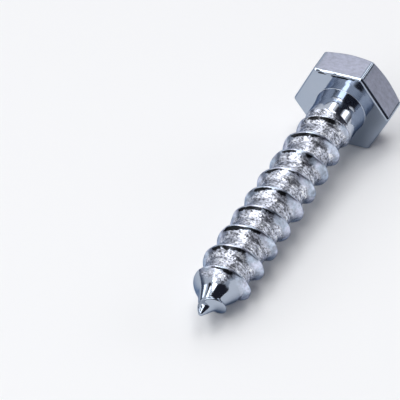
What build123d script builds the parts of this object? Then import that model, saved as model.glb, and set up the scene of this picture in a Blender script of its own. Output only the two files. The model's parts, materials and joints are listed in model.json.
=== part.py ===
from build123d import *
from math import asin, atan, ceil, cos, degrees, hypot, radians, sin, tan
import os

# Lag screw with a hexagon head and a gimlet point, lying as it comes to rest.
# Millimetres and degrees. The screw is drawn along the X axis, with the centre of its
# bearing face at zero and its point at +X. At the end it is tipped onto the head's edge
# and the crest that touch the surface, and is set down on z = 0.

# Hexagon head
HEAD_ACROSS_FLATS = 16.0
HEAD_HEIGHT = 5.95
HEAD_TOP_DISC = 15.3
HEAD_CHAMFER_ANGLE = 26.0
HEAD_CORNER_RADIUS = 0.35
BEARING_EDGE_CHAMFER = 0.30

# Blank under the head
LENGTH_UNDER_HEAD = 53.3
COLLAR_DIAMETER = 9.4
COLLAR_LENGTH = 2.2
SHANK_DIAMETER = 8.85
PLAIN_LENGTH = 5.2
STEP_LENGTH = 1.2

# Thread
THREAD_DIAMETER = 9.85
ROOT_DIAMETER = 7.3
PITCH = 4.92
RUN_IN_LENGTH = 8.2
CREST_LAND = 0.30
HEAD_FLANK_ANGLE = 28.0
POINT_FLANK_ANGLE = 46.0
THREAD_CLOCKING = -66.0

# Gimlet point
CREST_CONE_LENGTH = 7.3
CURL_LENGTH = 2.9
CURL_DIAMETER = 5.6
CURL_FLANK_ANGLE = 26.0
THREAD_END_SETBACK = 0.7
ROOT_CONE_LENGTH = 6.6
NIB_RADIUS = 0.5

# The ridge is drawn as bodies of one turn each, sunk a little way into the blank
FOOT_SINK = 0.25
END_SINK = 0.10
STEPS_PER_TURN = 12
FOOT_REFINEMENTS = 12


def value_along(x, stations):
    """Value at x on the straight lines that join (x, value) stations."""
    for (x_a, value_a), (x_b, value_b) in zip(stations, stations[1:]):
        if x <= x_b:
            share = max(0.0, (x - x_a) / (x_b - x_a))
            return value_a + share * (value_b - value_a)
    return stations[-1][1]


# The cone of the root runs tangent into the ball that ends the point
ROOT_RADIUS = ROOT_DIAMETER / 2
ROOT_CONE_START = LENGTH_UNDER_HEAD - ROOT_CONE_LENGTH
NIB_CENTRE = LENGTH_UNDER_HEAD - NIB_RADIUS
CONE_RUN = NIB_CENTRE - ROOT_CONE_START
CONE_SLOPE = atan(ROOT_RADIUS / CONE_RUN) - asin(NIB_RADIUS / hypot(CONE_RUN, ROOT_RADIUS))
NIB_START = NIB_CENTRE + NIB_RADIUS * sin(CONE_SLOPE)
NIB_START_RADIUS = NIB_RADIUS * cos(CONE_SLOPE)

# Radius of the blank, without its ridge, along the screw
BLANK_STATIONS = [
    (0.0, COLLAR_DIAMETER / 2),
    (COLLAR_LENGTH, SHANK_DIAMETER / 2),
    (PLAIN_LENGTH, SHANK_DIAMETER / 2),
    (PLAIN_LENGTH + STEP_LENGTH, ROOT_RADIUS),
    (ROOT_CONE_START, ROOT_RADIUS),
    (NIB_START, NIB_START_RADIUS),
]

# Radius of the ridge's crest: out of the shank, full height, cone, and down into the nib
THREAD_START = PLAIN_LENGTH - PITCH / 4
THREAD_END = LENGTH_UNDER_HEAD - THREAD_END_SETBACK
CREST_STATIONS = [
    (THREAD_START, value_along(THREAD_START, BLANK_STATIONS) - END_SINK),
    (PLAIN_LENGTH + RUN_IN_LENGTH, THREAD_DIAMETER / 2),
    (LENGTH_UNDER_HEAD - CREST_CONE_LENGTH, THREAD_DIAMETER / 2),
    (LENGTH_UNDER_HEAD - CURL_LENGTH, CURL_DIAMETER / 2),
    (THREAD_END, value_along(THREAD_END, BLANK_STATIONS) - END_SINK),
]

# The ridge's flank that faces the point stands steeper as the ridge curls in
FLANK_ANGLE_STATIONS = [
    (LENGTH_UNDER_HEAD - CREST_CONE_LENGTH, POINT_FLANK_ANGLE),
    (LENGTH_UNDER_HEAD - CURL_LENGTH, CURL_FLANK_ANGLE),
]


def hex_head():
    """Hexagonal prism with eased edges, inside the cone of its top chamfer."""
    outline = RegularPolygon(HEAD_ACROSS_FLATS / 2, 6, major_radius=False)
    outline = fillet(outline.vertices(), HEAD_CORNER_RADIUS)
    prism = extrude(Plane.YZ.offset(-HEAD_HEIGHT) * outline, amount=HEAD_HEIGHT)
    prism = chamfer(prism.faces().sort_by(Axis.X)[-1].edges(), BEARING_EDGE_CHAMFER)
    disc_radius = HEAD_TOP_DISC / 2
    cone_radius = disc_radius + HEAD_HEIGHT / tan(radians(HEAD_CHAMFER_ANGLE))
    cone_section = Polyline(
        (-HEAD_HEIGHT, 0), (-HEAD_HEIGHT, disc_radius), (0, cone_radius), (0, 0), close=True
    )
    return prism & revolve(make_face(cone_section), Axis.X)


def blank():
    """Collar, plain shank, thread root, cone and rounded nib, revolved from one profile."""
    side = Polyline(*BLANK_STATIONS)
    half_way = (radians(90) - CONE_SLOPE) / 2
    nib_middle = (NIB_CENTRE + NIB_RADIUS * cos(half_way), NIB_RADIUS * sin(half_way))
    nib = ThreePointArc(side @ 1, nib_middle, (LENGTH_UNDER_HEAD, 0))
    seat = -HEAD_HEIGHT / 2
    inside = Polyline(nib @ 1, (seat, 0), (seat, COLLAR_DIAMETER / 2), side @ 0)
    return revolve(make_face(Curve() + [side, nib, inside]), Axis.X)


def flank_foot(x_crest, crest_radius, run_per_rise):
    """Place where a flank that leaves the crest meets the level just under the blank's."""
    x_foot = x_crest
    for _ in range(FOOT_REFINEMENTS):
        foot_radius = value_along(x_foot, BLANK_STATIONS) - FOOT_SINK
        x_foot = x_crest + run_per_rise * (crest_radius - foot_radius)
    return x_foot, foot_radius


def ridge_section(x):
    """The four corners, as (x, radius), of the ridge's section whose crest is at x."""
    crest_radius = value_along(x, CREST_STATIONS)
    head_edge = x - CREST_LAND / 2
    point_edge = x + CREST_LAND / 2
    point_flank_angle = value_along(x, FLANK_ANGLE_STATIONS)
    return [
        flank_foot(head_edge, crest_radius, -tan(radians(HEAD_FLANK_ANGLE))),
        (head_edge, crest_radius),
        (point_edge, crest_radius),
        flank_foot(point_edge, crest_radius, tan(radians(point_flank_angle))),
    ]


def ridge_turn(x_from, x_to):
    """One turn of the ridge: ruled faces between the helical edges that its corners follow."""
    places = [x_from + (x_to - x_from) * i / STEPS_PER_TURN for i in range(STEPS_PER_TURN + 1)]
    corner_paths = [[], [], [], []]
    for x in places:
        angle = radians(THREAD_CLOCKING + 360 * x / PITCH)
        for path, (x_corner, radius) in zip(corner_paths, ridge_section(x)):
            path.append(Vector(x_corner, radius * cos(angle), radius * sin(angle)))
    edges = [Edge.make_spline(path, parameters=places) for path in corner_paths]
    sides = [Face.make_surface_from_curves(a, b) for a, b in zip(edges, edges[1:] + edges[:1])]
    ends = [Face(Wire.make_polygon([path[i] for path in corner_paths])) for i in (0, -1)]
    return Solid(Shell(sides + ends))


def ridge():
    """Right-hand ridge from its run-in on the shank to its curl on the point, turn by turn."""
    turns = ceil((THREAD_END - THREAD_START) / PITCH)
    marks = [THREAD_START + (THREAD_END - THREAD_START) * i / turns for i in range(turns + 1)]
    return [ridge_turn(x_from, x_to) for x_from, x_to in zip(marks, marks[1:])]


def resting_tilt():
    """Angle of the axis below level when the head's edge and one crest touch the surface."""
    head_reach = HEAD_ACROSS_FLATS / 2
    contact_offset = BEARING_EDGE_CHAMFER + CREST_LAND / 2
    first_low_crest = PITCH * (-90 - THREAD_CLOCKING) / 360
    low_crests = [first_low_crest + PITCH * turn for turn in range(ceil(THREAD_END / PITCH) + 1)]
    slopes = [
        (head_reach - value_along(x, CREST_STATIONS)) / (x + contact_offset)
        for x in low_crests
        if THREAD_START < x < THREAD_END
    ]
    return degrees(atan(min(slopes)))


def lag_screw():
    """The whole screw as one solid, lying on the surface with its box centred on zero."""
    drawn = (hex_head() + blank()).solid().fuse(*ridge())
    lying = Rotation(0, resting_tilt(), 0) * drawn
    box = lying.bounding_box()
    return Pos(-box.center().X, -box.center().Y, -box.min.Z) * lying


os.makedirs("parts", exist_ok=True)
screw = lag_screw()
print("lag_screw: volume", round(screw.volume, 1), "resting tilt", round(resting_tilt(), 2))
export_step(screw, "parts/lag_screw.step")
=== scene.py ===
# %% [markdown]
# A plated lag screw. The real screw is one piece of steel wire: its head is struck in a
# die, its thread is rolled, and the whole is plated with zinc. A imported model of that
# piece, at its real size, is the frame that everything here is built around. This cell
# loads it and keeps its record.

import json
from math import cos, radians, sin, tan

import bpy
import numpy as np
from mathutils import Matrix, Vector


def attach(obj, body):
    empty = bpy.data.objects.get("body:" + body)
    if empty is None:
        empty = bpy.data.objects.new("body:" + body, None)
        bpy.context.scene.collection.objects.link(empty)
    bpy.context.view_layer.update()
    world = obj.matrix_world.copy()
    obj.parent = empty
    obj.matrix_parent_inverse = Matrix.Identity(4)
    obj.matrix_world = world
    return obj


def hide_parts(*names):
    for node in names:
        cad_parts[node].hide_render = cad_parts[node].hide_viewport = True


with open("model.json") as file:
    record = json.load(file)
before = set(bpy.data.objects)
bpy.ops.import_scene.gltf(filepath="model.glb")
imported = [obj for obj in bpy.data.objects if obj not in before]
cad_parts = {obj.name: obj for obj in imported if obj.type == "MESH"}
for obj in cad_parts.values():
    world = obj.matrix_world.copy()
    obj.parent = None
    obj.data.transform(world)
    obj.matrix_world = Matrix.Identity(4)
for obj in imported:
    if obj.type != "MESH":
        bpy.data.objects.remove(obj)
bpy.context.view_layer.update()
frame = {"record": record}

# %% [markdown]
# The screw lies tipped on its head, so it is easier to shape it straight and then lay it
# down. The record's mounts say where its axis runs: the one of the thread stands at the
# tip of the point and looks along the axis. From it come the direction of the axis and
# the place of zero, which is the centre of the bearing face, one length back from the
# tip. Lengths below are in millimetres.

# %% The screw's own axes
MM = 0.001
LENGTH = 53.3

mounts = {mount["name"]: mount for mount in frame["record"]["mounts"]}
ALONG = Vector(mounts["wood_thread"]["axis"]).normalized()
ACROSS = Vector((0, 1, 0))
UPWARD = ALONG.cross(ACROSS)
ZERO = Vector(mounts["wood_thread"]["pos_m"]) - LENGTH * MM * ALONG
SCREW_AXES = np.array([ALONG, ACROSS, UPWARD])


def laid_down(points):
    """Points (x, y, z) in mm on the screw's own axes, as points in metres in the frame:
    the centre of the bearing face plus x, y and z times the three axes."""
    return np.array(ZERO) + MM * points @ SCREW_AXES


print("axis", [round(v, 4) for v in ALONG])
print("bearing face centre in mm", [round(v / MM, 3) for v in ZERO])

# %% [markdown]
# The photograph was taken from in front of the point and above it, with a long lens.
# The camera below stands where a fit to the head's corners and to the thread's outline
# puts it. It is made first.

# %% Camera
CAMERA_PLACE = Vector((230.48, 130.36, 219.38)) * MM
CAMERA_AIM = Vector((-0.38, -16.59, 0.0)) * MM
CAMERA_ROLL = radians(6.82)
LENS = 181.6
NEAREST_SEEN = 0.01
FARTHEST_SEEN = 20.0

camera = bpy.data.objects.new("camera", bpy.data.cameras.new("camera"))
bpy.context.scene.collection.objects.link(camera)
bpy.context.scene.camera = camera
camera.data.lens = LENS
camera.data.clip_start = NEAREST_SEEN
camera.data.clip_end = FARTHEST_SEEN

view_line = (CAMERA_AIM - CAMERA_PLACE).normalized()
level = view_line.cross(Vector((0, 0, 1))).normalized()
camera_right = level * cos(CAMERA_ROLL) + view_line.cross(level) * sin(CAMERA_ROLL)
camera_up = camera_right.cross(view_line)
turn = Matrix([camera_right, camera_up, -view_line]).transposed().to_4x4()
camera.matrix_world = Matrix.Translation(CAMERA_PLACE) @ turn
print("camera", round((CAMERA_AIM - CAMERA_PLACE).length / MM, 1), "mm from its aim")

# %% [markdown]
# The blank is everything but the thread's ridge: a short collar under the head, a plain
# shank, the smaller root that the rolling leaves, and the cone and nib of the point. All
# of it is a body of revolution, so one line of radius against length holds it. The same
# goes for the crest of the ridge, which rises out of the shank and runs down the point.
# At both its ends the crest's line starts a little way inside the blank.

# %% Radius of the blank and of the crest
COLLAR_RADIUS = 4.70
COLLAR_LENGTH = 2.2
SHANK_RADIUS = 4.425
PLAIN_LENGTH = 5.2
STEP_LENGTH = 1.2
ROOT_RADIUS = 3.65
ROOT_CONE_LENGTH = 6.6
NIB_RADIUS = 0.5
NIB_LENGTH = 0.29
NIB_START_RADIUS = 0.45
NIB_START = LENGTH - NIB_LENGTH
NIB_CENTRE = LENGTH - NIB_RADIUS

PITCH = 4.92
THREAD_RADIUS = 4.925
RUN_IN_LENGTH = 8.2
THREAD_START = PLAIN_LENGTH - PITCH / 4
CREST_CONE_LENGTH = 7.3
CURL_LENGTH = 2.9
CURL_RADIUS = 2.8
THREAD_END_SETBACK = 0.7
THREAD_END = LENGTH - THREAD_END_SETBACK
END_SINK = 0.1

BLANK_LINE = np.array([
    (0.0, COLLAR_RADIUS),
    (COLLAR_LENGTH, SHANK_RADIUS),
    (PLAIN_LENGTH, SHANK_RADIUS),
    (PLAIN_LENGTH + STEP_LENGTH, ROOT_RADIUS),
    (LENGTH - ROOT_CONE_LENGTH, ROOT_RADIUS),
    (NIB_START, NIB_START_RADIUS),
])


def blank_radius(x):
    """Radius of the blank at x: straight lines between the stations of BLANK_LINE."""
    return np.interp(x, BLANK_LINE[:, 0], BLANK_LINE[:, 1])


CREST_LINE = np.array([
    (THREAD_START, blank_radius(THREAD_START) - END_SINK),
    (PLAIN_LENGTH + RUN_IN_LENGTH, THREAD_RADIUS),
    (LENGTH - CREST_CONE_LENGTH, THREAD_RADIUS),
    (LENGTH - CURL_LENGTH, CURL_RADIUS),
    (THREAD_END, blank_radius(THREAD_END) - END_SINK),
])


def crest_radius(x):
    """Radius of the ridge's crest at x: straight lines between the stations of
    CREST_LINE, and zero, which is well inside the blank, past the ridge's ends."""
    return np.interp(x, CREST_LINE[:, 0], CREST_LINE[:, 1], left=0.0, right=0.0)


print("thread runs from", round(THREAD_START, 2), "to", round(THREAD_END, 2), "mm")

# %% [markdown]
# A rolled thread is never as clean as a drawing. Its crest wanders a little, and the
# valley floors are pitted where the plating took to rough steel. Both need a smooth
# random field. A sum of sine waves that run in random directions is a simple one: it has
# no grid to give it away, and one array formula gives it at every point.

# %% Smooth random field
WAVES = 40
WAVELENGTH_SPREAD = (0.7, 1.5)


def ripples(points, wavelength, seed):
    """Sum of sine waves over points (n, 3): each wave has a random direction, a length
    spread about the one given and a random start, and the sum is scaled to about 1."""
    draw = np.random.default_rng(seed)
    directions = draw.normal(size=(WAVES, 3))
    directions /= np.linalg.norm(directions, axis=1)[:, None]
    numbers = 2 * np.pi / (wavelength * draw.uniform(*WAVELENGTH_SPREAD, WAVES))
    starts = draw.uniform(0, 2 * np.pi, WAVES)
    return np.sin(points @ (directions * numbers[:, None]).T + starts).sum(1) / np.sqrt(WAVES / 2)


print("field at zero:", round(float(ripples(np.zeros((1, 3)), 1.0, 1)[0]), 3))

# %% [markdown]
# The thread is a strip wound round the blank. Its two parameters are the turn angle and
# the share of a pitch, so the crest is one straight line of the grid and stays crisp.
# Columns crowd near the crest, where the section bends most. The strip's two long edges
# are the same helix one turn apart, and share their vertices. Places past either end of
# the threaded length are pulled onto a plain ring later on.

# %% Grid of the thread
COLUMNS = 168
ACROSS_PITCH = 36
STRIP_START = 3.4
STRIP_END = NIB_CENTRE
THREAD_CLOCKING = radians(-66.0)
CREST_SHARE = 0.5
CREST_CROWDING = 1.5
FIRST_ANGLE = THREAD_CLOCKING + 2 * np.pi * (STRIP_START / PITCH - CREST_SHARE)

spread = np.linspace(-1, 1, ACROSS_PITCH + 1)[:-1]
SHARES = CREST_SHARE + 0.5 * np.sign(spread) * np.abs(spread) ** CREST_CROWDING
STRIP_ROWS = int(np.ceil(COLUMNS * ((STRIP_END - STRIP_START) / PITCH + 1))) + 1

row = np.arange(STRIP_ROWS)[:, None]
strip_angle = FIRST_ANGLE + 2 * np.pi * row / COLUMNS + 0 * SHARES
strip_x = STRIP_START + PITCH * (row / COLUMNS - 1 + SHARES)
print("thread grid", strip_x.shape, "of", strip_x.size, "points")

# %% [markdown]
# Across the pitch the ridge has a narrow rounded crest, a steep side towards the head and
# a slanting side towards the point, which stands steeper where the ridge curls in. The
# radius at a place is the larger of the blank and of the ridge turns near it. The larger
# is taken softly, which leaves a small fillet at the foot of each side, as rolling dies
# do. Rounding the crest takes a little off it, and the lift makes up for that.

# %% Section of the ridge
CREST_LAND = 0.30
CREST_ROUNDING = 0.16
CREST_LIFT = 0.03
HEAD_FLANK_ANGLE = radians(28.0)
POINT_FLANK_ANGLE = radians(46.0)
CURL_FLANK_ANGLE = radians(26.0)
FOOT_FILLET = 0.20
FAR_INSIDE = -10.0


def soft_ramp(value, rounding):
    """Zero below zero and the value above it, joined by a curve of the given size."""
    return (value + np.sqrt(value ** 2 + rounding ** 2)) / 2


def ridge_radius(x, crest_x):
    """Radius at x of the ridge turn whose crest is at crest_x: the crest's radius less a
    soft ramp down each side, whose slope is one over the tangent of the side's angle."""
    curl_span = [LENGTH - CREST_CONE_LENGTH, LENGTH - CURL_LENGTH]
    point_angle = np.interp(crest_x, curl_span, [POINT_FLANK_ANGLE, CURL_FLANK_ANGLE])
    away = x - crest_x
    head_drop = soft_ramp((-away - CREST_LAND / 2) / tan(HEAD_FLANK_ANGLE), CREST_ROUNDING)
    point_drop = soft_ramp((away - CREST_LAND / 2) / np.tan(point_angle), CREST_ROUNDING)
    return crest_radius(crest_x) + CREST_LIFT - head_drop - point_drop


def threaded_radius(x, home_crest):
    """Radius at x, and how far the ridge stands over the blank there: the blank plus a
    soft ramp of that height, for the highest of the home turn and its two neighbours."""
    ridge = np.full_like(x, FAR_INSIDE)
    for turn_away in (-1, 0, 1):
        ridge = np.maximum(ridge, ridge_radius(x, home_crest + turn_away * PITCH))
    blank = blank_radius(x)
    return blank + soft_ramp(ridge - blank, FOOT_FILLET), ridge - blank


home_crest = strip_x[:, [0]] + PITCH * (CREST_SHARE - SHARES[0]) + 0 * SHARES
strip_radius, ridge_height = threaded_radius(strip_x, home_crest)
print("thread radius", round(strip_radius.min(), 2), "to", round(strip_radius.max(), 2), "mm")

# %% [markdown]
# The strip's grid is now a table of places, and the roughness is a table of shares laid
# over it. The rough floor of a valley ends where the ridge stands a few tenths of a
# millimetre over the blank, and that bank wanders. On the side that lies uppermost the
# floor climbs higher up the ridge and runs farther down the point, as the photograph
# shows. The plain shank and the cone of the point stay smooth. Pits dent the rough floor
# by a hundredth of a millimetre, and the crest wanders by a few hundredths.

# %% Pits and wander
PIT_DEPTH = 0.010
PIT_SIZE = 0.45
CREST_WANDER = 0.035
WANDER_LENGTH = 3.5
BANK_LENGTH = 2.0
BANK_WANDER = 0.12
BANK_HEIGHTS = (0.15, 0.55)
ROUGH_SIDE = radians(90)
ROUGH_SIDE_SPAN = (0.60, 0.90)
ROUGH_SIDE_CLIMB = 0.45
ROUGH_START = (PLAIN_LENGTH - 0.2, PLAIN_LENGTH + 0.8)
ROUGH_END = LENGTH - 6.4
ROUGH_END_FADE = 1.0
ROUGH_SIDE_RUN = 1.5
PIT_SEED = 11
WANDER_SEED = 12
BANK_SEED = 13


def fade(value, low, high):
    """Share from 0 at low to 1 at high, with a smooth start and end: three times the
    square of the straight share less twice its cube."""
    share = np.clip((value - low) / (high - low), 0, 1)
    return share * share * (3 - 2 * share)


def round_the_axis(x, radius, angle):
    """Points (x, y, z) from the place along the axis, the radius and the angle round it."""
    return np.stack([x + 0 * angle, radius * np.cos(angle), radius * np.sin(angle)], axis=-1)


smooth_points = round_the_axis(strip_x, strip_radius, strip_angle).reshape(-1, 3)


def field_on_strip(wavelength, seed):
    """The smooth random field at every place of the strip's grid."""
    return ripples(smooth_points, wavelength, seed).reshape(strip_x.shape)


rough_side = fade(np.cos(strip_angle - ROUGH_SIDE), *ROUGH_SIDE_SPAN)
rough_end = ROUGH_END + ROUGH_SIDE_RUN * rough_side
on_thread = fade(strip_x, *ROUGH_START) * fade(rough_end - strip_x, 0.0, ROUGH_END_FADE)
bank_wander = BANK_WANDER * field_on_strip(BANK_LENGTH, BANK_SEED)
bank_height = ridge_height - ROUGH_SIDE_CLIMB * rough_side - bank_wander
valley = on_thread * (1 - fade(bank_height, *BANK_HEIGHTS))
pits = valley * PIT_DEPTH * field_on_strip(PIT_SIZE, PIT_SEED)
wander = on_thread * (1 - valley) * CREST_WANDER * field_on_strip(WANDER_LENGTH, WANDER_SEED)
strip_radius = strip_radius + pits + wander
print("valleys cover", round(float(valley.mean()), 2), "of the strip")

# %% [markdown]
# The head is a hexagon with small round corners. Seen from the end, its outline is a
# radius that depends on the angle only. The side walls, the slanting chamfer at the top
# and the flat bearing face are all lines in the plane of one angle, so a list of
# stations for every angle describes the head, and each sharp station is then rounded.

# %% Outline of the head
HEAD_INRADIUS = 8.0
HEAD_HEIGHT = 5.95
HEAD_TOP_RADIUS = 7.65
HEAD_CHAMFER_ANGLE = radians(26.0)
HEAD_CORNER_RADIUS = 0.35
CORNERS = 6
SIXTH = 2 * np.pi / CORNERS
CORNER_SAMPLES = 12
CORNER_HALF_ANGLE = radians(2.6)


def head_angles():
    """Angles round the head, crowded at the corners: over each sixth of a turn, half of a
    corner's columns share the few degrees at either end, and the others the flat."""
    per_side = COLUMNS // CORNERS
    marks = [0, CORNER_SAMPLES / 2, per_side - CORNER_SAMPLES / 2, per_side]
    angles = [0, CORNER_HALF_ANGLE, SIXTH - CORNER_HALF_ANGLE, SIXTH]
    side = np.interp(np.arange(per_side), marks, angles)
    return (side[None, :] + SIXTH * np.arange(CORNERS)[:, None]).ravel()


def hexagon_radius(angle):
    """Radius of the outline: the flat's distance over the cosine of the angle from its
    middle, or, inside a corner's span, the far side of the corner's small circle."""
    from_corner = np.abs((angle + SIXTH / 2) % SIXTH - SIXTH / 2)
    flat = HEAD_INRADIUS / np.cos(SIXTH / 2 - from_corner)
    centre = (HEAD_INRADIUS - HEAD_CORNER_RADIUS) / cos(SIXTH / 2)
    inside = np.maximum(HEAD_CORNER_RADIUS ** 2 - (centre * np.sin(from_corner)) ** 2, 0)
    corner = centre * np.cos(from_corner) + np.sqrt(inside)
    reach = (HEAD_INRADIUS - HEAD_CORNER_RADIUS) * tan(SIXTH / 2)
    tangent_angle = SIXTH / 2 - np.arctan2(reach, HEAD_INRADIUS)
    return np.where(from_corner < tangent_angle, corner, flat)


outline_angle = head_angles()
outline = hexagon_radius(outline_angle)
print("head across flats", round(2 * outline.min(), 2), "across corners", round(2 * outline.max(), 2))

# %% [markdown]
# The head was struck in a die and then trimmed, which leaves a narrow bevel between its
# walls and its bearing face, higher on the walls than it is deep on the face. On the wall
# that lies uppermost the bevel's inner border is slightly wavy. Beside the bevel runs a
# narrow strip of the bearing face, where a dark shadow under the edge is painted on the
# upper side of the head. It lies in the plane of the face, and is a station of its own
# only so that this painted shadow can be placed. Each corner is rounded, and rows that lie
# close to it keep the wide faces flat, because a vertex shares its shading with both its
# sides.

# %% Rows of the head
EDGE_HEIGHT = 0.50
EDGE_DEPTH = 0.29
EDGE_WAVINESS = 0.16
WAVE_LENGTH = 1.1
WAVE_SEED = 21
WAVY_SPAN = (0.75, 0.86)
# width of the strip of bearing face where a shadow under the head's edge is painted
SHADOW_STRIP_WIDTH = 0.45
TOP_RING_RADIUS = 0.5
COLLAR_APRON = 0.8
ROUNDINGS = {
    "top": 0.30,
    "side": 0.25,
    "edge": 0.13,
    "bearing": 0.24,
    "shadow_strip": 0.12,
    "apron": 0.12,
    "collar": 0.12,
}
ARC_SAMPLES = 5
LONGEST_SHARE = 0.45


def softened(stations, sizes):
    """Rows of (x, radius) along the stations, each inner station replaced by a quadratic
    curve that leaves and meets its two lines at the size given for it, or at a little
    under half of a line that is too short for that."""
    rows = [stations[0]]
    for before, corner, after, size in zip(stations, stations[1:], stations[2:], sizes):
        arriving, leaving = before - corner, after - corner
        start = corner + arriving * np.minimum(size / np.linalg.norm(arriving, axis=0), LONGEST_SHARE)
        end = corner + leaving * np.minimum(size / np.linalg.norm(leaving, axis=0), LONGEST_SHARE)
        for share in np.linspace(0, 1, ARC_SAMPLES):
            rows.append((1 - share) ** 2 * start + 2 * share * (1 - share) * corner + share ** 2 * end)
    rows.append(stations[-1])
    return np.array(rows)


ones = np.ones(COLUMNS)
rim = round_the_axis(0 * ones, outline, outline_angle)
on_top_wall = fade(np.sin(outline_angle), *WAVY_SPAN)
depth = EDGE_DEPTH * (1 + on_top_wall * EDGE_WAVINESS * ripples(rim, WAVE_LENGTH, WAVE_SEED))
chamfer_x = -HEAD_HEIGHT + (outline - HEAD_TOP_RADIUS) * tan(HEAD_CHAMFER_ANGLE)
head_stations = np.array([
    (-HEAD_HEIGHT * ones, TOP_RING_RADIUS * ones),
    (-HEAD_HEIGHT * ones, HEAD_TOP_RADIUS * ones),
    (chamfer_x, outline),
    (-EDGE_HEIGHT * ones, outline),
    (0 * ones, outline - depth),
    (0 * ones, outline - depth - SHADOW_STRIP_WIDTH),
    (0 * ones, (COLLAR_RADIUS + COLLAR_APRON) * ones),
    (0 * ones, COLLAR_RADIUS * ones),
    (COLLAR_LENGTH * ones, SHANK_RADIUS * ones),
])
head_line = softened(head_stations, ROUNDINGS.values())
FIRST_ROW = {name: 1 + ARC_SAMPLES * k for k, name in enumerate(ROUNDINGS)}
print("head rows", head_line.shape, "roundings start at rows", FIRST_ROW)

# %% [markdown]
# Columns round the head crowd at its corners, while those of the thread are even. On the
# bearing face each column swings from the one angle to the other, which a flat face
# doesn't show. Below the head come the rings of the shank, down to the strip's start.

# %% Head and shank as one grid
SHANK_ROWS = 8

even_angle = FIRST_ANGLE + 2 * np.pi * np.arange(COLUMNS) / COLUMNS
nearest_column = int(round(FIRST_ANGLE / (2 * np.pi / COLUMNS)))
column = np.arange(COLUMNS) + nearest_column
head_line = head_line[:, :, column % COLUMNS]
corner_angle = outline_angle[column % COLUMNS] + 2 * np.pi * (column // COLUMNS)

head_row = np.arange(len(head_line))[:, None]
head_angle = np.where(head_row < FIRST_ROW["apron"], corner_angle, even_angle)
head_points = round_the_axis(head_line[:, 0], head_line[:, 1], head_angle)

shank_x = np.linspace(COLLAR_LENGTH, STRIP_START, SHANK_ROWS)[1:, None] + 0 * even_angle
shank_points = round_the_axis(shank_x, blank_radius(shank_x), even_angle)
upper_points = np.concatenate([head_points, shank_points])
print("head and shank grid", upper_points.shape)

# %% [markdown]
# The point ends in a small ball. Its rows follow the cone as far as the ball, and then
# the ball's own circle down to the last ring before the tip, which one vertex closes.

# %% Nib
NIB_ROWS = 9
CONE_ROWS = 4
LAST_RING_ANGLE = 0.15

cone_x = np.linspace(STRIP_END, NIB_START, CONE_ROWS)
ball_start = np.arccos((NIB_START - NIB_CENTRE) / NIB_RADIUS)
ball_angle = np.linspace(ball_start, LAST_RING_ANGLE, NIB_ROWS)[1:]
nib_x = np.concatenate([cone_x, NIB_CENTRE + NIB_RADIUS * np.cos(ball_angle)])[:, None]
nib_radius = np.concatenate([blank_radius(cone_x), NIB_RADIUS * np.sin(ball_angle)])[:, None]
nib_points = round_the_axis(nib_x + 0 * even_angle, nib_radius, even_angle)
print("nib grid", nib_points.shape)

# %% [markdown]
# The tables are now joined into one closed skin. Every place has a number, and a face is
# three numbers. The thread's places past either end take the number of the ring there,
# and each row of the strip ends with the number that its first column has one turn on.
# Faces that this folds flat are dropped, so nothing is welded by distance and no gap is
# left.

# %% One closed skin
top_pole = np.array([[-HEAD_HEIGHT, 0.0, 0.0]])
strip_points = round_the_axis(strip_x, strip_radius, strip_angle)
tip_pole = np.array([[LENGTH, 0.0, 0.0]])
tables = [top_pole, upper_points, strip_points, nib_points, tip_pole]
points = np.concatenate([table.reshape(-1, 3) for table in tables])
first_number = np.cumsum([0] + [table.size // 3 for table in tables])

upper_number = first_number[1] + np.arange(upper_points.size // 3).reshape(-1, COLUMNS)
nib_number = first_number[3] + np.arange(nib_points.size // 3).reshape(-1, COLUMNS)
own_number = first_number[2] + np.arange(strip_x.size).reshape(strip_x.shape)
ring = np.arange(STRIP_ROWS + COLUMNS)[:, None] % COLUMNS
own_number = np.where(strip_x <= STRIP_START, upper_number[-1][ring[:STRIP_ROWS]], own_number)
own_number = np.where(strip_x >= STRIP_END, nib_number[0][ring[:STRIP_ROWS]], own_number)
one_turn_on = np.concatenate([own_number[COLUMNS:, :1], nib_number[0][ring[STRIP_ROWS:]]])
strip_number = np.concatenate([own_number, one_turn_on], axis=1)
print("numbered", first_number[-1], "places")

# %% [markdown]
# Each cell of a table becomes two triangles. The order of a triangle's three numbers says
# which side is the outer one, so every table is turned the same way round first: rows
# round the axis, columns along it. The top and the tip are closed by fans about one
# vertex, and the two fans look opposite ways.

# %% Faces
def grid_faces(number):
    """Two triangles for each cell of a table of numbers, whose rows run round the axis
    and whose columns run along it, so that the faces look outwards."""
    a, b, c, d = number[:-1, :-1], number[1:, :-1], number[1:, 1:], number[:-1, 1:]
    triangles = [np.stack([a, b, c], -1), np.stack([a, c, d], -1)]
    return np.concatenate([half.reshape(-1, 3) for half in triangles])


def closed_round(number):
    """The table turned so that rows run round the axis, with its first row repeated."""
    return np.concatenate([number, number[:, :1]], axis=1).T


def fan(pole, ring_numbers):
    """Triangles from one pole to each pair of neighbours on a ring."""
    neighbours = np.roll(ring_numbers, -1)
    return np.stack([np.full(len(ring_numbers), pole), neighbours, ring_numbers], -1)


faces = np.concatenate([
    fan(first_number[0], upper_number[0]),
    grid_faces(closed_round(upper_number)),
    grid_faces(strip_number),
    grid_faces(closed_round(nib_number)),
    fan(first_number[4], nib_number[-1])[:, ::-1],
])
folded_flat = (faces[:, 0] == faces[:, 1]) | (faces[:, 1] == faces[:, 2]) | (faces[:, 2] == faces[:, 0])
used, faces = np.unique(faces[~folded_flat], return_inverse=True)
faces = faces.reshape(-1, 3)
print("skin has", len(used), "points and", len(faces), "triangles")
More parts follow.
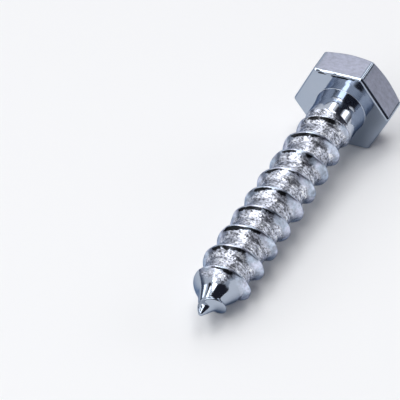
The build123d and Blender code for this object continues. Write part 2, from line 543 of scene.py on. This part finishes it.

# %% [markdown]
# Finish differs from place to place. The die left the top and the walls of the head
# satin, but the corners between the walls are burnished, and the bearing face, the collar
# and the shank are bright. Rolling left the ridge duller and the valleys pitted. Just past
# each crest a dark band is painted, standing for the shade and dark reflection at the foot
# of the ridge, strongest on the upper side. Beside the upper edge of the bearing face a
# shadow under the edge is painted. Each of these is a share for every place of the grids,
# tied to the surface and not to a direction.

# %% The finish of each place
CORNER_BRIGHT = (8.98, 9.08)
# angles round the head, on its upper side, where a shadow under the edge is painted
PAINTED_EDGE_SHADOW_SPAN = (0.87, 0.91)
# painted shade past each crest: how far past the crest, how far along the screw, and how much of it away from
# the upper side
PAINTED_SHADE_START = (0.10, 0.24)
PAINTED_SHADE_END = (0.3, 1.3)
PAINTED_SHADE_FROM = (PLAIN_LENGTH + 0.8, PLAIN_LENGTH + 2.0)
PAINTED_SHADE_UNTIL = (LENGTH - 7.4, LENGTH - 5.2)
PAINTED_SHADE_ELSEWHERE = 0.3
DRAWN_END = (PLAIN_LENGTH, PLAIN_LENGTH + 1.0)
# where a finish changes on the head: a rounding, rows on from its first one, rows it takes
BURNISHED_START = ("side", 0.0, 1)
STRUCK_END = ("edge", 1.0, 1)
# rows of the bearing face where a shadow under the head's edge is painted
PAINTED_EDGE_SHADOW_START = ("shadow_strip", -2.5, 2)
PAINTED_EDGE_SHADOW_END = ("shadow_strip", 1.5, 2)
DRAWN_START = ("collar", 1.5, 2)

upper_row = np.arange(len(upper_points))[:, None]


def below(rounding, rows_on, rows):
    """Share over the rows of the head and shank from 0 above a place to 1 below it. The
    place lies some rows on from the first row of a rounding."""
    middle = FIRST_ROW[rounding] + rows_on
    return fade(upper_row, middle - rows / 2, middle + rows / 2)


def between(value, rise, fall):
    """Share that goes from 0 to 1 over the range of its rise and back over its fall."""
    return fade(value, *rise) * (1 - fade(value, *fall))


burnished = fade(hexagon_radius(corner_angle), *CORNER_BRIGHT) * below(*BURNISHED_START)
struck = (1 - below(*STRUCK_END)) * (1 - burnished)
# painted shadow under the head's upper edge, on a strip of the bearing face
painted_edge_shadow = below(*PAINTED_EDGE_SHADOW_START) * (1 - below(*PAINTED_EDGE_SHADOW_END)) * fade(np.sin(corner_angle), *PAINTED_EDGE_SHADOW_SPAN)
past_crest = (strip_x - home_crest + PITCH / 2) % PITCH - PITCH / 2
# painted shade and dark reflection in a band just past each crest, strongest on the upper side
painted_shade = between(past_crest, PAINTED_SHADE_START, PAINTED_SHADE_END) * between(strip_x, PAINTED_SHADE_FROM, PAINTED_SHADE_UNTIL)
painted_shade = painted_shade * (PAINTED_SHADE_ELSEWHERE + (1 - PAINTED_SHADE_ELSEWHERE) * rough_side)
print("folds cover", round(float(painted_shade.mean()), 2), "of the strip")

# %% [markdown]
# Each attribute is put together from a table for the head and shank, one for the strip
# and one for the nib, in the order of the skin's points.

# %% Attributes
def per_table(upper, strip, nib):
    """One value for each point of the skin, from one table or number for each part. The
    vertex at the top and the one at the tip take the value beside them."""
    parts = [
        np.full(1, np.ravel(upper)[0]),
        np.broadcast_to(upper, upper_points.shape[:2]).ravel(),
        np.broadcast_to(strip, strip_x.shape).ravel(),
        np.broadcast_to(nib, nib_points.shape[:2]).ravel(),
        np.full(1, nib),
    ]
    return np.concatenate(parts)[used]


ATTRIBUTES = {
    "struck": per_table(struck, 0.0, 0.0),
    "pitted": per_table(0.0, valley, 0.0),
    "rolled": per_table(0.0, on_thread * (1 - valley), 0.0),
    # this attribute holds the painted shade past the crests and the painted shadow under the head's edge
    "painted_shade": per_table(painted_edge_shadow, painted_shade, 0.0),
    "drawn": per_table(below(*DRAWN_START), 1 - fade(strip_x, *DRAWN_END), 0.0),
}
print({name: round(float(values.mean()), 3) for name, values in ATTRIBUTES.items()})

# %% [markdown]
# The skin becomes one mesh object. Its vertex normals are the average of the faces round
# each vertex weighted by their areas, so a wide flat face stays flat up to its edge and
# only the narrow bevels turn the light.

# %% The screw
def weighted_normals(places, triangles):
    """Unit normals: for each vertex the sum of the cross products of its triangles, whose
    lengths are twice their areas."""
    a, b, c = (places[triangles[:, k]] for k in range(3))
    cross = np.cross(b - a, c - a)
    total = np.zeros_like(places)
    for k in range(3):
        for axis in range(3):
            total[:, axis] += np.bincount(triangles[:, k], cross[:, axis], len(places))
    return total / np.linalg.norm(total, axis=1)[:, None]


skin_points = laid_down(points[used])
skin = bpy.data.meshes.new("plated_screw")
skin.vertices.add(len(skin_points))
skin.vertices.foreach_set("co", skin_points.astype(np.float32).ravel())
skin.loops.add(faces.size)
skin.loops.foreach_set("vertex_index", faces.astype(np.int32).ravel())
skin.polygons.add(len(faces))
skin.polygons.foreach_set("loop_start", np.arange(0, faces.size, 3, dtype=np.int32))
skin.update(calc_edges=True)
skin.validate()
skin.polygons.foreach_set("use_smooth", np.ones(len(faces), dtype=bool))
skin.normals_split_custom_set_from_vertices(weighted_normals(skin_points, faces))
for name, values in ATTRIBUTES.items():
    skin.attributes.new(name, "FLOAT", "POINT").data.foreach_set("value", values.astype(np.float32))

plated_screw = bpy.data.objects.new("plated_screw", skin)
bpy.context.scene.collection.objects.link(plated_screw)
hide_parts("lag_screw")
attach(plated_screw, "root")
print("plated_screw", len(skin.vertices), "vertices", len(skin.polygons), "faces")

# %% [markdown]
# Materials are built from nodes. Each helper below adds one node, sets its constants,
# links its inputs and hands back its output, so a material reads like a sum.

# %% Material helpers
def node(tree, kind, settings=None, **inputs):
    """A new node with its settings, and its inputs given as values or as other sockets.
    An input is named as Blender names it, or as i0, i1 and so on by its number."""
    made = tree.nodes.new(kind)
    for key, value in (settings or {}).items():
        setattr(made, key, value)
    for key, value in inputs.items():
        socket = made.inputs[int(key[1:])] if key[0] == "i" and key[1:].isdigit() else made.inputs[key]
        if isinstance(value, bpy.types.NodeSocket):
            tree.links.new(value, socket)
        else:
            socket.default_value = value
    return made


def mixed(tree, share, low, high):
    """A number that goes from low to high with the share."""
    return node(tree, "ShaderNodeMix", {"data_type": "FLOAT"}, i0=share, i2=low, i3=high).outputs[0]


def tinted(tree, share, low, high):
    """A colour that goes from low to high with the share."""
    return node(tree, "ShaderNodeMix", {"data_type": "RGBA"}, i0=share, i6=low, i7=high).outputs[2]


def product(tree, a, b):
    """One number times another."""
    return node(tree, "ShaderNodeMath", {"operation": "MULTIPLY"}, i0=a, i1=b).outputs[0]


def ranged(tree, value, seen, given, settings=None):
    """A number that follows another over the range seen and becomes the range given."""
    return node(
        tree, "ShaderNodeMapRange", settings, i0=value, i1=seen[0], i2=seen[1], i3=given[0], i4=given[1]
    ).outputs[0]


def speckle(tree, place, grain):
    """A noise from 0 to 1. Its grain is its waves in a metre, its detail and how strongly
    the finer waves come through."""
    waves, detail, fineness = grain
    settings = {"Vector": place, "Scale": waves, "Detail": detail, "Roughness": fineness}
    return node(tree, "ShaderNodeTexNoise", None, **settings).outputs["Fac"]


print("helpers ready")

# %% [markdown]
# The patterns of the plating read the object's own coordinates. What came off the dies
# runs round the screw, so those patterns read coordinates that are turned onto the
# screw's axis and shrunk across it, which draws the pattern out that way.

# %% Where the patterns lie
RESTING_TILT = ALONG.angle(Vector((1, 0, 0)))
ROLLING_STRETCH = 1.7
STREAK_STRETCH = 5.0

zinc = bpy.data.materials.new("zinc_plated_steel")
zinc.use_nodes = True
tree = zinc.node_tree
shader = tree.nodes["Principled BSDF"]
place = node(tree, "ShaderNodeTexCoord").outputs["Object"]


def drawn_out(stretch):
    """Coordinates on the screw's own axes, divided by the stretch across its axis."""
    return node(
        tree, "ShaderNodeMapping", {"vector_type": "TEXTURE"},
        Vector=place, Rotation=(0, RESTING_TILT, 0), Scale=(1, stretch, stretch),
    ).outputs[0]


along_the_dies = drawn_out(ROLLING_STRETCH)
in_streaks = drawn_out(STREAK_STRETCH)
struck_here, pitted_here, rolled_here, painted_shade_here, drawn_here = (
    node(tree, "ShaderNodeAttribute", {"attribute_name": name}).outputs["Fac"] for name in ATTRIBUTES
)
print("patterns lie on", len(ATTRIBUTES), "attributes and three sets of coordinates")

# %% [markdown]
# Bright zinc plating is a bluish metal with a lavender cast where the clear chromate on
# it is thicker. One Principled shader makes it, fully metallic, with a darker tint at
# grazing angles that gives the dark rim such plating has. The cast belongs to the place:
# blue on the bearing face and the point, paler on the shank, lavender on the struck
# faces, mottled on the ridge and near white in the valleys.

# %% Cast of the plating
ZINC_BLUE = (0.425, 0.475, 0.56, 1.0)
ZINC_LAVENDER = (0.458, 0.474, 0.572, 1.0)
ZINC_WHITE = (0.515, 0.535, 0.605, 1.0)
ZINC_DRAWN = (0.565, 0.605, 0.68, 1.0)
ZINC_ROLLED = (0.49, 0.514, 0.612, 1.0)
ZINC_SHADE = (0.40, 0.458, 0.547, 1.0)
GRAZING_TINT = (0.22, 0.28, 0.40, 1.0)
DRIFT_GRAIN = (140.0, 2.0, 0.5)
DRIFT_SEEN = (0.38, 0.68)
MOTTLE_GRAIN = (520.0, 2.0, 0.5)
MOTTLE_SEEN = (0.42, 0.60)

shader.inputs["Metallic"].default_value = 1.0
shader.inputs["Specular Tint"].default_value = GRAZING_TINT
drift = ranged(tree, speckle(tree, place, DRIFT_GRAIN), DRIFT_SEEN, (0.0, 1.0))
mottle = ranged(tree, speckle(tree, place, MOTTLE_GRAIN), MOTTLE_SEEN, (0.0, 1.0))
cast = tinted(tree, drift, ZINC_SHADE, ZINC_BLUE)
cast = tinted(tree, drawn_here, cast, ZINC_DRAWN)
cast = tinted(tree, struck_here, cast, ZINC_LAVENDER)
cast = tinted(tree, rolled_here, cast, tinted(tree, mottle, ZINC_SHADE, ZINC_ROLLED))
cast = tinted(tree, pitted_here, cast, ZINC_WHITE)
print("cast made of", len(tree.nodes), "nodes so far")

# %% [markdown]
# On the cast lie light and dark marks, as factors on its brightness: fine brushing on the
# struck faces, soft clouds on the ridge, and sharp specks with streaks among them in the
# valleys. The painted shade past the crests and the painted shadow under the head's edge
# are nearly black, where the attribute and a noise together pass a limit, so that their
# border is ragged. Marks in the colour show at any size of picture, where bumps that small
# would be lost.

# %% Marks on the plating
BRUSHING_GRAIN = (1700.0, 4.0, 0.7)
BRUSHING_SEEN = (0.3, 0.7)
BRUSHING_GIVEN = (0.82, 1.18)
CLOUD_GRAIN = (1300.0, 4.0, 0.65)
CLOUD_SEEN = (0.35, 0.65)
CLOUD_GIVEN = (0.80, 1.65)
SPECK_GRAIN = (4000.0, 2.0, 0.6)
SPECK_SEEN = (0.36, 0.56)
SPECK_GIVEN = (0.28, 1.55)
STREAK_GRAIN = (2200.0, 2.0, 0.5)
STREAK_SEEN = (0.40, 0.60)
STREAK_GIVEN = (0.65, 1.24)
# painted shade and shadow: nearly black where the attribute and a noise together pass a limit
PAINTED_SHADE_GRAIN = (600.0, 5.0, 0.7)
PAINTED_SHADE_SEEN = (0.76, 0.80)
PAINTED_SHADE_GIVEN = (1.0, 0.04)
PAINTED_SHADE_REACH = 0.355

brushing = ranged(tree, speckle(tree, along_the_dies, BRUSHING_GRAIN), BRUSHING_SEEN, BRUSHING_GIVEN)
clouds = ranged(tree, speckle(tree, along_the_dies, CLOUD_GRAIN), CLOUD_SEEN, CLOUD_GIVEN)
specks = ranged(tree, speckle(tree, along_the_dies, SPECK_GRAIN), SPECK_SEEN, SPECK_GIVEN)
streaks = ranged(tree, speckle(tree, in_streaks, STREAK_GRAIN), STREAK_SEEN, STREAK_GIVEN)
marks = mixed(tree, pitted_here, 1.0, specks)
marks = mixed(tree, struck_here, marks, brushing)
marks = mixed(tree, rolled_here, marks, clouds)
marks = product(tree, marks, mixed(tree, pitted_here, 1.0, streaks))
painted_shade_edge = node(
    tree, "ShaderNodeMath", {"operation": "MULTIPLY_ADD"},
    i0=painted_shade_here, i1=PAINTED_SHADE_REACH, i2=speckle(tree, along_the_dies, PAINTED_SHADE_GRAIN),
).outputs[0]
marks = product(tree, marks, ranged(tree, painted_shade_edge, PAINTED_SHADE_SEEN, PAINTED_SHADE_GIVEN))
marked = node(tree, "ShaderNodeVectorMath", {"operation": "SCALE"}, i0=cast, Scale=marks).outputs[0]
tree.links.new(marked, shader.inputs["Base Color"])
print("marks on the cast,", len(tree.nodes), "nodes so far")

# %% [markdown]
# How sharply the metal mirrors the room is its roughness: sharp where the wire was drawn,
# soft on the struck faces and the thread. Four shallow bumps lie over one another. Each
# is weighted by the attribute of its own place, but for a faint one that is everywhere
# and keeps reflections from being as straight as in glass.

# %% Sheen and relief
DRAWN_ROUGHNESS = 0.10
STRUCK_ROUGHNESS = 0.32
ROLLED_ROUGHNESS = 0.28
PITTED_ROUGHNESS = 0.28
FAINT = 0.6
# share, depth in metres, coordinates, grain
RELIEF = [
    (pitted_here, 0.00008, along_the_dies, (3200.0, 3.0, 0.65)),
    (rolled_here, 0.00005, along_the_dies, (900.0, 2.0, 0.5)),
    (FAINT, 0.000012, place, (1300.0, 1.0, 0.5)),
    (struck_here, 0.00002, place, (3600.0, 2.0, 0.5)),
]

roughness = mixed(tree, struck_here, DRAWN_ROUGHNESS, STRUCK_ROUGHNESS)
roughness = mixed(tree, rolled_here, roughness, ROLLED_ROUGHNESS)
roughness = mixed(tree, pitted_here, roughness, PITTED_ROUGHNESS)
tree.links.new(roughness, shader.inputs["Roughness"])

relief = {}
for share, bump_depth, coordinates, grain in RELIEF:
    height = speckle(tree, coordinates, grain)
    bump = node(tree, "ShaderNodeBump", None, Strength=share, Distance=bump_depth, Height=height, **relief)
    relief = {"Normal": bump.outputs[0]}
tree.links.new(relief["Normal"], shader.inputs["Normal"])
skin.materials.append(zinc)
print("zinc plating on", plated_screw.name)

# %% [markdown]
# The stage is a white table that fills the view. It is a plain diffuse sheet, so it keeps
# the screw's shadow, and the lower sides of the screw mirror it as they would in a studio.

# %% Floor
FLOOR_HALF_WIDTH = 1.6
FLOOR_COLOUR = (0.915, 0.915, 0.915, 1.0)

corners = [(x * FLOOR_HALF_WIDTH, y * FLOOR_HALF_WIDTH, 0.0) for x, y in ((-1, -1), (1, -1), (1, 1), (-1, 1))]
table = bpy.data.meshes.new("table")
table.from_pydata(corners, [], [(0, 1, 2, 3)])
table_top = bpy.data.objects.new("table", table)
bpy.context.scene.collection.objects.link(table_top)
white = bpy.data.materials.new("white_table")
white.use_nodes = True
sheet = white.node_tree.nodes["Principled BSDF"]
sheet.inputs["Base Color"].default_value = FLOOR_COLOUR
sheet.inputs["Roughness"].default_value = 1.0
sheet.inputs["Specular IOR Level"].default_value = 0.0
table.materials.append(white)
print("floor", 2 * FLOOR_HALF_WIDTH, "m wide")

# %% [markdown]
# Bright metal is a picture of the room it stands in, and the photograph's dark and light
# bars tell what that room was. Here it is one sky, whose grey depends on the direction
# alone: darker near the horizon and pale above, with a dim region low on the left, which
# shades the left side of every turn, and six dark patches. The metal mirrors those as the
# black on the shank and the point, as the dark line on the bevel at the right of the
# head, and as the dimmer wall beside it and the dimmer middle of each valley.

# %% Room
WALL_GREY = (0.78, 0.79, 0.82, 1.0)
HORIZON_GREY = (0.46, 0.48, 0.53, 1.0)
HORIZON_SPAN = (0.07, 0.42)
LOW_LEFT_GREY = (0.10, 0.12, 0.17, 1.0)
LOW_LEFT = (-85, -2, 16, 36)
SMOOTH = {"interpolation_type": "SMOOTHSTEP"}
CORNER_GREY = (0.025, 0.025, 0.035, 1.0)
# azimuth, elevation, the angle within which a patch is full, the angle where it is gone
DARK_CORNERS = [
    (62, 42, 28, 38),
    (84, 8, 12, 26),
    (112, 50, 14, 26),
    (-48, 52, 7, 13),
    (150, 46, 9, 15),
    (142, 0, 4, 18),
]


def towards(azimuth, elevation):
    """Unit vector in a direction: azimuth in degrees from +X to +Y, elevation above level."""
    a, e = radians(azimuth), radians(elevation)
    return Vector((cos(a) * cos(e), sin(a) * cos(e), sin(e)))


def patch(azimuth, elevation, inner, outer):
    """Share from 1 within the inner angle of a direction to 0 past the outer one, found
    from the cosine of the angle between them."""
    middle = towards(azimuth, elevation)
    cosine = node(sky, "ShaderNodeVectorMath", {"operation": "DOT_PRODUCT"}, i0=direction, i1=middle)
    seen = (cos(radians(outer)), cos(radians(inner)))
    return ranged(sky, cosine.outputs["Value"], seen, (0.0, 1.0), SMOOTH)


room = bpy.data.worlds.new("room")
bpy.context.scene.world = room
room.use_nodes = True
sky = room.node_tree
direction = node(sky, "ShaderNodeTexCoord").outputs["Generated"]
height = node(sky, "ShaderNodeSeparateXYZ", None, i0=direction).outputs["Z"]
grey = tinted(sky, ranged(sky, height, HORIZON_SPAN, (0.0, 1.0), SMOOTH), HORIZON_GREY, WALL_GREY)
grey = tinted(sky, patch(*LOW_LEFT), grey, LOW_LEFT_GREY)
for corner in DARK_CORNERS:
    grey = tinted(sky, patch(*corner), grey, CORNER_GREY)
sky.links.new(grey, sky.nodes["Background"].inputs["Color"])
print("sky made of", len(sky.nodes), "nodes")

# %% [markdown]
# The lamps are rectangles of even light, all at one distance. A lamp's brightness as seen
# in the metal is its power over its area, so the table gives that brightness, where 1 is
# white paper, and the power is worked out. Each lamp is there for a highlight in the
# photograph, and stands where the metal mirrors it into the camera:
# front_high whitens the collar, and front_low the bearing face beside it;
# over_the_edge draws the line along the head's upper edge and the lines on the crests;
# overhead fills the upper sides, and left_low draws the bar at the left of the point;
# back_strip gives the top wall its sheen and the shank its first white bar;
# back_high brightens the middle of the valleys, and back_low gives the shank its second
# bar and the burnished corner of the head its line.

# %% Lamps
LAMP_DISTANCE = 0.80
# name: azimuth, elevation and roll in degrees, width and height in metres, brightness
LAMPS = {
    "front_high": (1, 56, 0, 0.31, 0.28, 3.3),
    "front_low": (-10, 35, 20, 0.18, 0.28, 3.2),
    "over_the_edge": (-68, 69, 0, 0.44, 0.20, 3.2),
    "overhead": (95, 80, 0, 0.34, 0.30, 1.6),
    "left_low": (-76, 30, -30, 0.14, 0.28, 2.0),
    "back_strip": (-169, 50, 0, 0.17, 0.30, 2.1),
    "back_high": (165, 70, 0, 0.34, 0.22, 2.0),
    "back_low": (137, 25, 0, 0.28, 0.19, 1.6),
}


def panel(name, azimuth, elevation, roll, width, height, brightness):
    """A rectangular lamp that stands in a direction from the screw, looks at it and is
    rolled about its line of sight. Its power in watts is brightness times pi times area."""
    lamp = bpy.data.lights.new(name, "AREA")
    lamp.shape = "RECTANGLE"
    lamp.size = width
    lamp.size_y = height
    lamp.energy = brightness * np.pi * width * height
    standing = bpy.data.objects.new(name, lamp)
    bpy.context.scene.collection.objects.link(standing)
    line = towards(azimuth, elevation)
    facing = line.to_track_quat("Z", "Y").to_matrix().to_4x4() @ Matrix.Rotation(radians(roll), 4, "Z")
    standing.matrix_world = Matrix.Translation(line * LAMP_DISTANCE) @ facing


for name, values in LAMPS.items():
    panel(name, *values)

# %% [markdown]
# The colours are shown as they are, without a film look.

# %% Finish
bpy.context.scene.view_settings.view_transform = "Standard"
